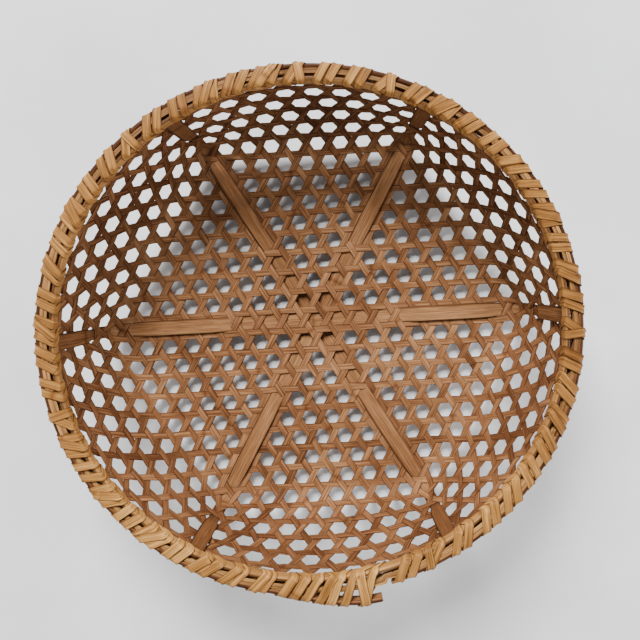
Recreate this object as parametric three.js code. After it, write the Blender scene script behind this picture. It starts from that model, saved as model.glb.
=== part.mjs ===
import * as THREE from 'three';

// Shallow round harvest basket in open hexagonal bamboo weave. Millimetres, +Z up.
// The flat base is a hexagon of weave. A five-sided hole at each of its corners turns the weave
// up into a wall that ends round, held between two hoops that are bound with split bamboo.
// Heights are worked out from the middle of the base's weave, and the finished basket is then
// moved up to stand on Z = 0.

// Weave
const PITCH = 24.4; // from one hole's centre to the next
const STRIP_WIDTH = 6.8;
const STRIP_THICKNESS = 0.7;
const STRIP_GAP = 0.6; // between strips that cross
const BASE_RINGS = 9; // rings of holes round the middle one
const WALL_STRIPS = 5; // strips that go right round the wall
const ROUND_ROWS = 0.4; // rows above the last wall strip's hole where the weave is fully round
const RIM_SPREAD = 1.104; // pitch at the rim over pitch in the base
const WALL_CURVE = 1.7; // how early the wall comes upright
const BEND_ROWS = 0.3; // rows each side of the base's edge that its bend takes
const SLACK_ROWS = 1.28; // rows from the last knot up to the rim, at the middle of a side
const CORNER_COLUMNS = 0.3; // columns each side of a corner that its level strips bend in
const CORNER_SHARE = 0.7; // how far they go in, over how far the diagonals do
const CLEARANCE = 0.3; // between neighbouring pieces

// Bars that cross under the base
const BAR_COUNT = 3;
const BAR_THICKNESS = 2.6;
const BAR_SIDE_GAP = 0.35; // to the strips beside it
const BAR_END_WIDTH = 8.8; // where it passes the wall's holes
const BAR_PASS = 4; // the hole where it comes up through the base
const BAR_WALL_ROOM = 1.8; // more clearance inside the wall, whose strips cut its corner
const BAR_CORNER_SHARE = 0.66; // height in the corner hole, from its lower to its upper knot

// Rim
const RIM_HEIGHT = 12;
const RIM_LIFT = 2; // from where the wall comes upright to the hoops
const INNER_HOOP_THICKNESS = 3.2;
const OUTER_HOOP_THICKNESS = 3.8;
const SPLINTS = [
  { name: 'filler_splint_inner', thickness: 1.7, drop: 2.2 },
  { name: 'filler_splint_outer', thickness: 1.5, drop: 1.2 },
];
const SPLINT_RAISE = 1.5; // from the hoops' lower edge to the splints'
const STRIP_TRIM = 3; // from the hoops' upper edge down to the strips' ends
const HOOP_EDGE = 1.4; // taken off each hoop's upper edge under the binding
const LAP_END = 279.8; // degrees, where the outer hoop's free end is
const LAP_COLUMNS = 4; // columns of weave that it laps over its hidden end
const LAP_RAMP = 14; // degrees in which it steps out, and in which it thickens again
const LAP_THICKNESS = 2.2; // of the hidden end

// Binding
const BINDINGS = 6; // lengths that share the rim
const TURNS = [1, -1]; // sides of each column that it goes over the rim on
const BINDING_THICKNESS = 0.8;
const BINDING_WIDTH = 7.2;
const BINDING_WIDTH_IN_HOLE = 4;
const BINDING_TURN_GAP = 0.6; // between the two turns of a pair, on the rim
const BINDING_HOLE_GAP = 0.8; // between them in the hole
const BINDING_SLANT = 6; // along the rim, from its inner to its outer edge
const BINDING_CLEARANCE = 0.6;

const SIDES = 6;
const SIDE_ANGLE = 2 * Math.PI / SIDES;
const COLUMNS = SIDES * BASE_RINGS;
const COLUMN_ANGLE = 2 * Math.PI / COLUMNS;
const ROW = PITCH * Math.sqrt(3) / 2;
const EDGE = BASE_RINGS * ROW;
const LAYER = STRIP_THICKNESS + STRIP_GAP;
const WEAVE_HALF = LAYER + STRIP_THICKNESS / 2;
const RIM_RADIUS = COLUMNS * PITCH * RIM_SPREAD / (2 * Math.PI);
const ROWS_TO_RIM = WALL_STRIPS + ROUND_ROWS;
const HALF_WIDTH_ALONG_ROW = STRIP_WIDTH / Math.sqrt(3) / PITCH;

// The wall is worked out at a few rows, and is straight between them. Row 0 is the base's edge.
const KNOTS = [-BEND_ROWS, BEND_ROWS, 1];
for (let row = 2; row < WALL_STRIPS; row += 1) KNOTS.push(row);
const LAST_ROW = KNOTS[KNOTS.length - 1];
const TURN = KNOTS.length; // index of the knot where the wall comes upright
const TOP = KNOTS.length + 1; // index of the strips' ends

const mix = (a, b, share) => a + (b - a) * share;
const polar = (radius, angle, z) => new THREE.Vector3(radius * Math.cos(angle), radius * Math.sin(angle), z);

// Place along the wall, in columns, from the middle of side 0.
function placeOnSide(column) {
  const side = Math.round(column / BASE_RINGS);
  return { middle: (side + 0.5) * SIDE_ANGLE, across: (column - side * BASE_RINGS) / (BASE_RINGS / 2) };
}

// Share of the way from the hexagon to the round rim.
function roundness(row) {
  return 1 - (1 - Math.min(row / ROWS_TO_RIM, 1)) ** WALL_CURVE;
}

function knotAngle(index, column) {
  const { middle, across } = placeOnSide(column);
  const onHexagon = Math.atan(across / Math.sqrt(3));
  const share = index >= TURN ? 1 : roundness(Math.max(KNOTS[index], 0));
  return middle + mix(onHexagon, across * SIDE_ANGLE / 2, share);
}

// Radius and height of the wall at every knot above one column. Rows keep their height as the
// wall curves, so it rises less where it leans out more.
function wallLine(column) {
  const { across } = placeOnSide(column);
  const stretch = Math.sqrt(1 + across * across / 3);
  const line = [{ r: (EDGE - BEND_ROWS * ROW) * stretch, z: 0 }];
  for (let i = 1; i < KNOTS.length; i += 1) {
    const below = line[i - 1];
    const r = mix(EDGE * stretch, RIM_RADIUS, roundness(KNOTS[i]));
    const length = (KNOTS[i] - KNOTS[i - 1]) * ROW;
    line.push({ r, z: below.z + Math.sqrt(length ** 2 - (r - below.r) ** 2) });
  }
  return line;
}

function turnHeight() {
  const last = wallLine(0)[KNOTS.length - 1];
  return last.z + Math.sqrt((SLACK_ROWS * ROW) ** 2 - (RIM_RADIUS - last.r) ** 2);
}

const TURN_Z = turnHeight();
const RIM_BOTTOM = TURN_Z + RIM_LIFT;
const RIM_TOP = RIM_BOTTOM + RIM_HEIGHT;
const STRIP_TOP = RIM_TOP - STRIP_TRIM;

function fullLine(column) {
  return [...wallLine(column), { r: RIM_RADIUS, z: TURN_Z }, { r: RIM_RADIUS, z: STRIP_TOP }];
}

// Row at which the wall reaches a rim knot above a column.
function rimRow(index, column) {
  const last = wallLine(column)[KNOTS.length - 1];
  const row = LAST_ROW + Math.hypot(RIM_RADIUS - last.r, TURN_Z - last.z) / ROW;
  return index === TOP ? row + (STRIP_TOP - TURN_Z) / ROW : row;
}

// Outward direction at a point between two others, in radius and height. It is longer at a bend,
// so that an offset line stays at one distance.
function mitre(before, point, after) {
  const normal = (a, b) => {
    const length = Math.hypot(b.r - a.r, b.z - a.z);
    return { r: (b.z - a.z) / length, z: (a.r - b.r) / length };
  };
  const first = normal(before ?? point, before ? point : after);
  const second = normal(after ? point : before, after ?? point);
  const scale = 1 / (1 + first.r * second.r + first.z * second.z);
  return { r: (first.r + second.r) * scale, z: (first.z + second.z) * scale };
}

// The wall's outward direction at a knot. The flat base comes before the first one.
function wallOut(line, i) {
  return mitre(line[i - 1] ?? { r: line[0].r - PITCH, z: 0 }, line[i], line[i + 1]);
}

// Point of the wall at a knot, moved outward from the middle of the weave.
function wallPoint(index, column, outward) {
  const line = fullLine(column);
  const out = wallOut(line, index);
  return polar(line[index].r + out.r * outward, knotAngle(index, column), line[index].z + out.z * outward);
}

// The same for any row between two knots.
function rowPoint(row, column, outward) {
  let upper = KNOTS.findIndex((knot) => knot >= row);
  if (upper < 0) upper = TURN;
  const top = upper === TURN ? rimRow(TURN, column) : KNOTS[upper];
  const share = (row - KNOTS[upper - 1]) / (top - KNOTS[upper - 1]);
  return wallPoint(upper - 1, column, outward).lerp(wallPoint(upper, column, outward), share);
}

// Closed body through sections of four corners each. A ring joins its last section to its first.
function loft(sections, ring = false) {
  const positions = sections.flat().flatMap((p) => [p.x, p.y, p.z]);
  const corners = sections[0].length;
  const triangles = [];
  const steps = ring ? sections.length : sections.length - 1;
  for (let i = 0; i < steps; i += 1) {
    const a = i * corners;
    const b = ((i + 1) % sections.length) * corners;
    for (let c = 0; c < corners; c += 1) {
      const d = (c + 1) % corners;
      triangles.push([a + c, b + c, b + d], [a + c, b + d, a + d]);
    }
  }
  if (!ring) {
    const end = (sections.length - 1) * corners;
    for (let c = 1; c < corners - 1; c += 1) {
      triangles.push([0, c, c + 1], [end, end + c + 1, end + c]);
    }
  }
  const point = (i) => new THREE.Vector3().fromArray(positions, i * 3);
  let volume = 0;
  for (const [a, b, c] of triangles) volume += point(a).dot(point(b).cross(point(c)));
  const geometry = new THREE.BufferGeometry();
  geometry.setAttribute('position', new THREE.Float32BufferAttribute(positions, 3));
  geometry.setIndex(triangles.flatMap(([a, b, c]) => (volume > 0 ? [a, b, c] : [a, c, b])));
  return geometry;
}

const basket = new THREE.Group();
basket.name = 'bamboo_harvest_basket';

function addPiece(name, geometry, color, roughness) {
  geometry.computeVertexNormals();
  const mesh = new THREE.Mesh(geometry, new THREE.MeshStandardMaterial({ color, roughness, metalness: 0 }));
  mesh.name = name;
  basket.add(mesh);
}

// Diagonal strips. Each crosses the base in a straight line and climbs the wall at both ends.
// Beside side k it lies level with that side's own strips. On the next side it lies outside
// them, and on the side before it lies inside, so that no two strips meet.
function layerAlong(distance, turnAt) {
  const share = (Math.abs(distance) - turnAt) / (PITCH / 2) + 0.5;
  return Math.sign(distance) * LAYER * Math.min(Math.max(share, 0), 1);
}

function stripSection(left, right) {
  const half = STRIP_THICKNESS / 2;
  return [left(-half), right(-half), right(half), left(half)];
}

// Column where the edge of a leaning strip reaches a row. The row may depend on the column.
function climbTo(start, lean, rowAt) {
  let column = start;
  for (let pass = 0; pass < 6; pass += 1) column = start + lean * rowAt(column) / 2;
  return column;
}

// Column at the middle of the base's edge, where a strip starts to climb the wall beside it.
function climbStart(side, offset, lean) {
  return side * BASE_RINGS + lean * ((BASE_RINGS - 1) / 2 - offset);
}

// Sections from the base's edge up to the rim. lean is 1 where the strip climbs towards higher
// columns and -1 where it climbs the other way.
function climb(side, offset, lean, edgeOutward) {
  const sections = [];
  for (let i = 0; i <= TURN; i += 1) {
    const corner = (edge) => (shift) => {
      const start = climbStart(side, offset, lean) + edge * HALF_WIDTH_ALONG_ROW;
      if (i === 0) return basePoint(side, start - lean * BEND_ROWS / 2, edgeOutward + shift);
      const column = climbTo(start, lean, (at) => (i < TURN ? KNOTS[i] : rimRow(TURN, at)));
      return wallPoint(i, column, lean * LAYER + shift);
    };
    sections.push(stripSection(corner(lean), corner(-lean)));
  }
  return sections;
}

// Corner of a strip inside the rim, where the wall is upright.
function rimCorner(side, offset, lean, edge, z) {
  const start = climbStart(side, offset, lean) + edge * HALF_WIDTH_ALONG_ROW;
  const column = climbTo(start, lean, (at) => rimRow(TURN, at) + (z - TURN_Z) / ROW);
  return (shift) => polar(RIM_RADIUS + lean * LAYER + shift, knotAngle(TOP, column), z);
}

// Point on the first knot, at the outer edge of the flat base.
function basePoint(side, column, outward) {
  const middle = (side + 0.5) * SIDE_ANGLE;
  const along = (column - side * BASE_RINGS) * PITCH;
  const depth = EDGE - BEND_ROWS * ROW;
  const out = wallOut(fullLine(column), 0);
  return polar(Math.hypot(depth, along) + out.r * outward, middle + Math.atan2(along, depth), out.z * outward);
}

function diagonalStrip({ side, offset }) {
  const middle = (side + 0.5) * SIDE_ANGLE;
  const turnAt = (offset + 0.5) * PITCH / 2;
  const sideHalf = (BASE_RINGS - (offset + 0.5) / 2) * PITCH;
  const edgeAt = sideHalf - BEND_ROWS * PITCH;
  const depth = (offset + 0.5) * ROW;
  const flatSection = (distance) => {
    const outward = layerAlong(distance, turnAt);
    const corner = (edge) => (shift) => {
      const point = new THREE.Vector3(depth + edge * STRIP_WIDTH / 2, distance, -outward - shift);
      return point.applyAxisAngle(new THREE.Vector3(0, 0, 1), middle);
    };
    return stripSection(corner(-1), corner(1));
  };
  const stops = [turnAt - PITCH / 4];
  if (turnAt + PITCH / 4 < edgeAt) stops.push(turnAt + PITCH / 4);
  const before = [...stops].reverse().map((stop) => flatSection(-stop));
  const after = stops.map(flatSection);
  if (offset === 0) after.shift();
  const edgeOutward = layerAlong(edgeAt, turnAt);
  const down = climb(side - 1, offset, -1, -edgeOutward).reverse();
  const end = (edge) => rimCorner(side - 1, offset, -1, edge, STRIP_TOP);
  const first = stripSection(end(-1), end(1));
  return [first, ...down, ...before, ...after, ...climb(side + 1, offset, 1, edgeOutward)];
}

// Two neighbouring strips share a node. The first turns level inside the rim, where that is
// hidden, runs on to the second and turns down into it.
function stripPair(first, second) {
  const low = STRIP_TOP - STRIP_WIDTH;
  const corner = (strip, edge, z) => rimCorner(strip.side + 1, strip.offset, 1, edge, z);
  const turn = stripSection(corner(first, 1, low), corner(first, -1, STRIP_TOP));
  const back = stripSection(corner(second, -1, low), corner(second, 1, STRIP_TOP));
  const swapped = diagonalStrip(second).reverse().map(([a, b, c, d]) => [b, a, d, c]);
  return loft([...diagonalStrip(first), turn, back, ...swapped]);
}

function addDiagonalStrips() {
  const strips = [];
  for (let side = 0; side < SIDES; side += 1) {
    for (let offset = BASE_RINGS - 1; offset >= 0; offset -= 1) strips.push({ side, offset });
  }
  for (let i = 0; i < strips.length; i += 2) {
    const name = `strip_pair_${String(i / 2 + 1).padStart(2, '0')}`;
    addPiece(name, stripPair(strips[i], strips[i + 1]), 0xa8703f, 0.62);
  }
}

// How far the diagonal strips cut the wall's corner short at a row.
function cornerCut(row) {
  return HALF_WIDTH_ALONG_ROW * PITCH * Math.tan(SIDE_ANGLE / 2 * (1 - roundness(row)));
}

// Level strips. Each stays between the two layers of diagonals, and goes in at the corners with them.
function addWallStrips() {
  const half = STRIP_WIDTH / 2 / ROW;
  for (let ring = 0; ring < WALL_STRIPS; ring += 1) {
    const sections = [];
    const addSection = (column, inward) => {
      const corner = (row) => (shift) => rowPoint(row, column, shift - inward);
      sections.push(stripSection(corner(ring + 0.5 - half), corner(ring + 0.5 + half)));
    };
    for (let i = 0; i < COLUMNS; i += 1) {
      const column = i + BASE_RINGS / 2;
      const atCorner = i % BASE_RINGS === 0;
      if (atCorner) addSection(column - CORNER_COLUMNS, 0);
      addSection(column, atCorner ? cornerCut(ring + 0.5) * CORNER_SHARE : 0);
      if (atCorner) addSection(column + CORNER_COLUMNS, 0);
    }
    addPiece(`wall_strip_${ring + 1}`, loft(sections, true), 0x9c6536, 0.62);
  }
}

// Bars. Each runs from corner to corner of the base: under it and the bars before it in the
// middle, then inside, out through the corner hole, up past two wall strips, and in again above.
function addBars() {
  const width = ROW - STRIP_WIDTH - 2 * BAR_SIDE_GAP;
  const seat = WEAVE_HALF + CLEARANCE + BAR_THICKNESS / 2;
  const inSeat = seat + BAR_WALL_ROOM;
  const line = fullLine(BASE_RINGS / 2);
  const offsetPoint = (i, outward) => {
    const out = wallOut(line, i);
    return { r: line[i].r + out.r * outward, z: line[i].z + out.z * outward };
  };
  const pass = BAR_PASS * PITCH;
  const bend = line[1];
  const edge = line[0];
  const outHeight = mix(edge.z, bend.z, BAR_CORNER_SHARE);
  const hole = line[3];
  const below = line[2];
  const length = Math.hypot(hole.r - below.r, hole.z - below.z);
  const up = { r: (hole.r - below.r) / length, z: (hole.z - below.z) / length };
  const foot = offsetPoint(1, seat);
  const rise = (below.z - bend.z) / (below.r - bend.r);
  const inside = [];
  for (let i = 4; i < TURN; i += 1) inside.push(offsetPoint(i, -inSeat));
  const endZ = RIM_BOTTOM - CLEARANCE;
  for (let bar = 0; bar < BAR_COUNT; bar += 1) {
    const level = -seat - bar * (BAR_THICKNESS + CLEARANCE);
    const path = [
      { r: pass + level, z: level, width },
      { r: pass + seat, z: seat, width },
      { r: edge.r - PITCH / 2, z: seat, width },
      { r: edge.r - PITCH / 8, z: outHeight, width: BAR_END_WIDTH },
      { r: foot.r + (outHeight - foot.z) / rise, z: outHeight, width: BAR_END_WIDTH },
      { ...offsetPoint(2, seat), width: BAR_END_WIDTH },
      { r: hole.r + (up.z - up.r) * seat, z: hole.z - (up.z + up.r) * seat, width: BAR_END_WIDTH },
      { r: hole.r - (up.z - up.r) * inSeat, z: hole.z + (up.z + up.r) * inSeat, width: BAR_END_WIDTH },
      ...inside.map((point) => ({ ...point, width: BAR_END_WIDTH })),
      { r: RIM_RADIUS - inSeat, z: TURN_Z, width: BAR_END_WIDTH },
      { r: RIM_RADIUS - inSeat, z: endZ, width: BAR_END_WIDTH },
    ];
    const whole = [...path.map((p) => ({ ...p, r: -p.r })).reverse(), ...path];
    const sections = whole.map((point, i) => {
      const out = mitre(whole[i - 1], point, whole[i + 1]);
      const corner = (sideways) => (shift) => {
        const place = new THREE.Vector3(point.r + out.r * shift, sideways * point.width / 2, point.z + out.z * shift);
        return place.applyAxisAngle(new THREE.Vector3(0, 0, 1), bar * SIDE_ANGLE);
      };
      const half = BAR_THICKNESS / 2;
      return [corner(-1)(-half), corner(1)(-half), corner(1)(half), corner(-1)(half)];
    });
    addPiece(`bar_${bar + 1}`, loft(sections), 0xb17a48, 0.55);
  }
}

// Hoops and splints have a corner at the middle of each column. Their flats lie nearer the axis
// than their corners, by this share.
const FLAT = Math.cos(COLUMN_ANGLE / 2);
const INNER_HOOP_OUTSIDE = RIM_RADIUS - WEAVE_HALF - CLEARANCE;
const INNER_HOOP_INSIDE = INNER_HOOP_OUTSIDE - INNER_HOOP_THICKNESS;
const SPLINTS_INSIDE = (RIM_RADIUS + WEAVE_HALF + CLEARANCE) / FLAT;
const SPLINTS_WIDTH = SPLINTS.reduce((sum, splint) => sum + splint.thickness + CLEARANCE, 0);
const OUTER_HOOP_INSIDE = (SPLINTS_INSIDE + SPLINTS_WIDTH) / FLAT;
const LAP_ANGLE = LAP_COLUMNS * 360 / COLUMNS;
const LAP_START = LAP_END - LAP_ANGLE;
const columnAngle = (column) => (column + BASE_RINGS / 2) * COLUMN_ANGLE;

// Section of a hoop with its upper edge taken off on the side given by bare: -1 inside, 1 outside.
function hoopSection(angle, inside, outside, bare) {
  const corners = [[inside, RIM_BOTTOM], [outside, RIM_BOTTOM]];
  if (bare > 0) corners.push([outside, RIM_TOP - HOOP_EDGE], [outside - HOOP_EDGE, RIM_TOP]);
  else corners.push([outside, RIM_TOP]);
  if (bare < 0) corners.push([inside + HOOP_EDGE, RIM_TOP], [inside, RIM_TOP - HOOP_EDGE]);
  else corners.push([inside, RIM_TOP]);
  return corners.map(([r, z]) => polar(r, angle, z));
}

function innerHoop() {
  const sections = [];
  for (let i = 0; i < COLUMNS; i += 1) {
    sections.push(hoopSection(columnAngle(i), INNER_HOOP_INSIDE, INNER_HOOP_OUTSIDE, -1));
  }
  return loft(sections, true);
}

function splint(inside, outside, top) {
  const sections = [];
  const bottom = RIM_BOTTOM + SPLINT_RAISE;
  for (let i = 0; i < COLUMNS; i += 1) {
    const angle = columnAngle(i);
    const corners = [[inside, bottom], [outside, bottom], [outside, top], [inside, top]];
    sections.push(corners.map(([r, z]) => polar(r, angle, z)));
  }
  return loft(sections, true);
}

function smooth(share) {
  const held = Math.min(Math.max(share, 0), 1);
  return held * held * (3 - 2 * held);
}

// Inside and outside of the outer hoop at a turn in degrees past its hidden end. It is thin
// under the lap, thickens after it, and steps out over its own start at the end.
function hoopAt(turn) {
  const thickness = mix(LAP_THICKNESS, OUTER_HOOP_THICKNESS, smooth((turn - LAP_ANGLE) / LAP_RAMP));
  const step = smooth((turn - 360 + LAP_RAMP) / LAP_RAMP) * (LAP_THICKNESS + CLEARANCE);
  return { inside: OUTER_HOOP_INSIDE + step, outside: OUTER_HOOP_INSIDE + step + thickness };
}

// Outermost radius of the outer hoop near an angle.
function outerFace(angle) {
  const turn = THREE.MathUtils.euclideanModulo(angle * 180 / Math.PI - LAP_START, 360);
  const reach = BINDING_WIDTH / RIM_RADIUS * 180 / Math.PI;
  const near = [turn - reach, turn, turn + reach].map((at) => THREE.MathUtils.euclideanModulo(at, 360));
  const outsides = near.map((at) => hoopAt(at <= LAP_ANGLE ? at + 360 : at).outside);
  return Math.max(...outsides);
}

function outerHoop() {
  const sections = [];
  for (let i = 0; i <= COLUMNS + LAP_COLUMNS; i += 1) {
    const turn = 360 * i / COLUMNS;
    const { inside, outside } = hoopAt(turn);
    sections.push(hoopSection((LAP_START + turn) * Math.PI / 180, inside, outside, 1));
  }
  return loft(sections);
}

function addRim() {
  addPiece('inner_hoop', innerHoop(), 0xb8844c, 0.55);
  let inside = SPLINTS_INSIDE;
  for (const { name, thickness, drop } of SPLINTS) {
    addPiece(name, splint(inside, inside + thickness, RIM_TOP - drop), 0xa87644, 0.6);
    inside += thickness + CLEARANCE;
  }
  addPiece('outer_hoop', outerHoop(), 0x976243, 0.5);
}

// Binding. Each length of split bamboo goes twice through the hole under each column and over
// the rim, and then passes under the outer hoop to the next hole.
function bindingPath(firstColumn, columns) {
  const reach = BINDING_CLEARANCE + BINDING_THICKNESS / 2;
  const inner = INNER_HOOP_INSIDE * FLAT - reach;
  const bottom = RIM_BOTTOM - reach;
  const top = RIM_TOP + reach;
  const hole = RIM_RADIUS + WEAVE_HALF + CLEARANCE + BINDING_THICKNESS / 2;
  const inHole = (BINDING_WIDTH_IN_HOLE + BINDING_HOLE_GAP) / 2;
  const onRim = (BINDING_WIDTH + BINDING_TURN_GAP) / 2;
  const half = BINDING_SLANT / 2;
  const cut = HOOP_EDGE + reach * (2 - Math.SQRT2);
  const path = [];
  for (let i = 0; i < columns; i += 1) {
    const angle = columnAngle(firstColumn - i);
    const outer = outerFace(angle) / FLAT + reach;
    for (const turn of TURNS) {
      const put = (r, z, along, width) => path.push({ r, z, width, angle: angle + along / r });
      put(hole, bottom, turn * inHole, BINDING_WIDTH_IN_HOLE);
      put(inner, bottom, turn * inHole, BINDING_WIDTH_IN_HOLE);
      put(inner, top - cut, turn * onRim + half, BINDING_WIDTH);
      put(inner + cut, top, turn * onRim + half, BINDING_WIDTH);
      put(outer - cut, top, turn * onRim - half, BINDING_WIDTH);
      put(outer, top - cut, turn * onRim - half, BINDING_WIDTH);
      put(outer, bottom, turn * onRim - half, BINDING_WIDTH_IN_HOLE);
    }
  }
  const last = path[path.length - 1];
  path.push({ ...last, r: last.r - BINDING_WIDTH });
  return path;
}

function bindingSections(path) {
  return path.map((point, i) => {
    const out = mitre(path[i - 1], point, path[i + 1]);
    const corner = (edge) => (shift) => {
      const r = point.r + out.r * shift;
      return polar(r, point.angle + edge * point.width / 2 / point.r, point.z + out.z * shift);
    };
    const thin = BINDING_THICKNESS / 2;
    return [corner(-1)(-thin), corner(1)(-thin), corner(1)(thin), corner(-1)(thin)];
  });
}

// Least distance from a length of binding to itself, from its corners to its edges. Sections
// that follow one another closely belong to one bend and aren't compared.
function leastGap(sections) {
  const bend = 4;
  const line = new THREE.Line3();
  const nearest = new THREE.Vector3();
  let least = Infinity;
  for (let i = 0; i < sections.length; i += 1) {
    for (let j = i + bend; j < sections.length - 1; j += 1) {
      for (const point of sections[i]) {
        for (let corner = 0; corner < 4; corner += 1) {
          line.set(sections[j][corner], sections[j + 1][corner]);
          line.closestPointToPoint(point, true, nearest);
          least = Math.min(least, nearest.distanceTo(point));
        }
      }
    }
  }
  return least;
}

function addBindings() {
  const columns = Math.round(COLUMNS / BINDINGS);
  let least = Infinity;
  for (let first = 0; first < COLUMNS; first += columns) {
    const count = Math.min(columns, COLUMNS - first);
    const sections = bindingSections(bindingPath(first + count - 1, count));
    least = Math.min(least, leastGap(sections));
    addPiece(`rim_binding_${first / columns + 1}`, loft(sections), 0xc99a5e, 0.5);
  }
  console.log(`binding: ${columns * TURNS.length} turns each, least gap ${least.toFixed(2)} mm`);
}

addDiagonalStrips();
addWallStrips();
addBars();
addRim();
addBindings();

const bounds = new THREE.Box3().setFromObject(basket);
const middle = bounds.getCenter(new THREE.Vector3());
basket.position.set(-middle.x, -middle.y, -bounds.min.z);
basket.updateMatrixWorld(true);

export default basket;
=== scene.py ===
import math
import random

import bpy
import numpy as np
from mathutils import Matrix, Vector


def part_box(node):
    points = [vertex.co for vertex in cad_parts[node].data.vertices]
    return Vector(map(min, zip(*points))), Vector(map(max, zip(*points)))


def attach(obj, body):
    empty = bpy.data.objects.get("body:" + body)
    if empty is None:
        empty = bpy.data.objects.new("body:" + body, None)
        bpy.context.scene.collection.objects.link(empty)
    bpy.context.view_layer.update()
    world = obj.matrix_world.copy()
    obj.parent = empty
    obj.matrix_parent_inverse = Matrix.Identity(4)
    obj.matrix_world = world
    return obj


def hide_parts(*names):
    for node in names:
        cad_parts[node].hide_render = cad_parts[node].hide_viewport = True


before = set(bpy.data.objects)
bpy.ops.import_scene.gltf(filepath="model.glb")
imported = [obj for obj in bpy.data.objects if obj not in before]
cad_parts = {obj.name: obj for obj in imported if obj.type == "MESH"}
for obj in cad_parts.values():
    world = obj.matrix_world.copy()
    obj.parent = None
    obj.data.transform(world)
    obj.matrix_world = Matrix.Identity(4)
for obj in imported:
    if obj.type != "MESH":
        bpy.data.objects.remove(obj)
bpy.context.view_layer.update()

# Every length is in millimetres until a piece is bent to its place, where it becomes metres.
# Heights and radii are measured from the middle of the base's weave.
# A tone runs from 0, which is dark, to 1, which is light.
MM = 0.001
PATTERN_LENGTH = 100  # of every straight length, before it is bent
TINY = 1e-6
PHASES = 6.28  # random phases lie between 0 and this

# Weave. Its holes lie in columns round the basket, and in rows up the wall from the base's edge.
PITCH = 24.4  # from one hole's centre to the next
STRIP_WIDTH = 6.8
STRIP_THICKNESS = 0.6
STRIP_WIDTHS = (0.98, 1.06)  # the narrowest and the widest strip, over the usual width
WORN_EDGE = 0.22  # taken off the edges of strips and binding
WEAVE_LIFT = 0.34  # from the weave's middle to a strip's, where it crosses another
CROSSING_STEEPNESS = 2.2  # how suddenly a strip changes from over to under
RINGS = 9  # rings of holes round the middle one
SIDES = 6
COLUMNS = RINGS * SIDES
WALL_STRIPS = 5
WALL_STRIP_LAP = 2.4  # columns in which a level strip laps over its own start
LAP_STEP = 0.6  # columns in which its ends step aside and thin out
RIM_SPREAD = 1.104  # pitch at the rim over pitch in the base
WALL_CURVE = 1.7  # how early the wall comes upright
BEND_ROWS = 0.3  # rows each side of the base's edge that its bend takes
KNOT_ROWS = (BEND_ROWS, 1.0, 2.0, 3.0, 4.0)  # where the wall's curve is worked out
SLACK_ROWS = 1.28  # rows from the last knot to the rim, at the middle of a side
ROW = PITCH * math.sqrt(3) / 2
EDGE = RINGS * ROW
RIM_RADIUS = COLUMNS * PITCH * RIM_SPREAD / (2 * math.pi)
ROWS_TO_RIM = WALL_STRIPS + 0.4  # rows in which the wall comes upright
STRIP_END_BELOW_TOP = 3
WALL_SHADE_AND_PATINA = 0.3  # painted shade, and some patina: how much darker a strip's tone is painted on the wall than in the base
DARK_FROM = 32  # height from which that painted wall shade is at its full darkness
WEAVE_HALF = WEAVE_LIFT + STRIP_THICKNESS / 2
COLUMN_ANGLE = 2 * math.pi / COLUMNS

# The bends are smoothed over places round each point: rows or columns off it, and their weights.
ROWS_AROUND = ((-0.42, 1), (-0.21, 2), (0, 3), (0.21, 2), (0.42, 1))
COLUMNS_AROUND = ((-0.36, 1), (0, 2), (0.36, 1))
ALL_WEIGHTS = sum(w for _, w in ROWS_AROUND) * sum(w for _, w in COLUMNS_AROUND)
NEXT = 0.05  # rows or columns to the next point, where a direction is worked out

# The solids say where the weave's middle and the rim are.
CAD_WEAVE_HALF = 1.65  # in the solids, from the weave's underside to its middle
low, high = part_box("wall_strip_5")
MIDDLE = np.array(((low.x + high.x) / 2, (low.y + high.y) / 2, 0)) / MM
MIDDLE[2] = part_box("strip_pair_01")[0].z / MM + CAD_WEAVE_HALF
RIM_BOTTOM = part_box("inner_hoop")[0].z / MM - MIDDLE[2]
RIM_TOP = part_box("inner_hoop")[1].z / MM - MIDDLE[2]

# Bars
BARS_CROSSING = 3
BAR_WIDTH = 16
BAR_THICKNESS = 2.6
BAR_EDGE = 0.3
BAR_STEP = 2.9  # from one bar down to the next, where they cross
BAR_SEAT = 3.25  # from the weave's middle down to the uppermost bar's
BAR_GAP = 0.1  # between a bar and the weave that it lies on
BAR_RISE = 0.72  # share of its way up to the weave that a bar has risen beside the crossing
BAR_TONE = 0.65
# Painted shade: each bar that lies lower where they cross is painted darker by this step.
BAR_DEPTH_PAINTED_SHADE = 0.1
BAR_WALL_PAINTED_SHADE = 0.65  # painted shade: how much darker a bar's tone is painted where it lies on the wall

# Where the weave gives way to a bar: holes from the middle, and how far up it is pushed there.
BAR_PUSHES = ((3.5, 1.1), (4.5, -1.0), (7.5, -1.0), (8.5, 1.1))
PUSH_REACH = 8  # how far round such a place the push spreads
PUSHED_BELOW = 6  # height that ends the part of the weave that gives way

# A bar's points up the wall's corner: row, distance in from the weave, and share of its width.
BAR_UP_CORNER = ((0.15, -2.3, 0.74), (0.55, -2.3, 0.76), (1.0, -2.2, 0.78), (1.5, -2.3, 0.76),
                 (1.8, -1.4, 0.66), (2.15, 1.3, 0.7), (2.4, 2.3, 0.88), (3.2, 2.3, 0.95),
                 (4, 2.2, 0.95), (4.7, 2.1, 0.93))
BAR_END_INSIDE_RIM = 3.2

# Rim. The basket has been used, so its rim is a little out of round and off the base's middle.
OUT_OF_ROUND = np.array((0.0122, -0.0167, 0))
OFF_MIDDLE = np.array((-2.3, -2.3, 0))

# Inner and outer radii of the hoops, and of the channel between them that holds the splints.
INNER_HOOP = (RIM_RADIUS - 5.4, RIM_RADIUS - 1.2)
CHANNEL = (RIM_RADIUS + 1.2, RIM_RADIUS + 5.9)
OUTER_HOOP = (RIM_RADIUS + 6.1, RIM_RADIUS + 10.4)
HOOP_FACE = 12  # width of a hoop's face
HOOP_ROUNDING = 1.9
RIM_WIDTH = OUTER_HOOP[1] - INNER_HOOP[0]
OUTER_TONE = 0.45

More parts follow.
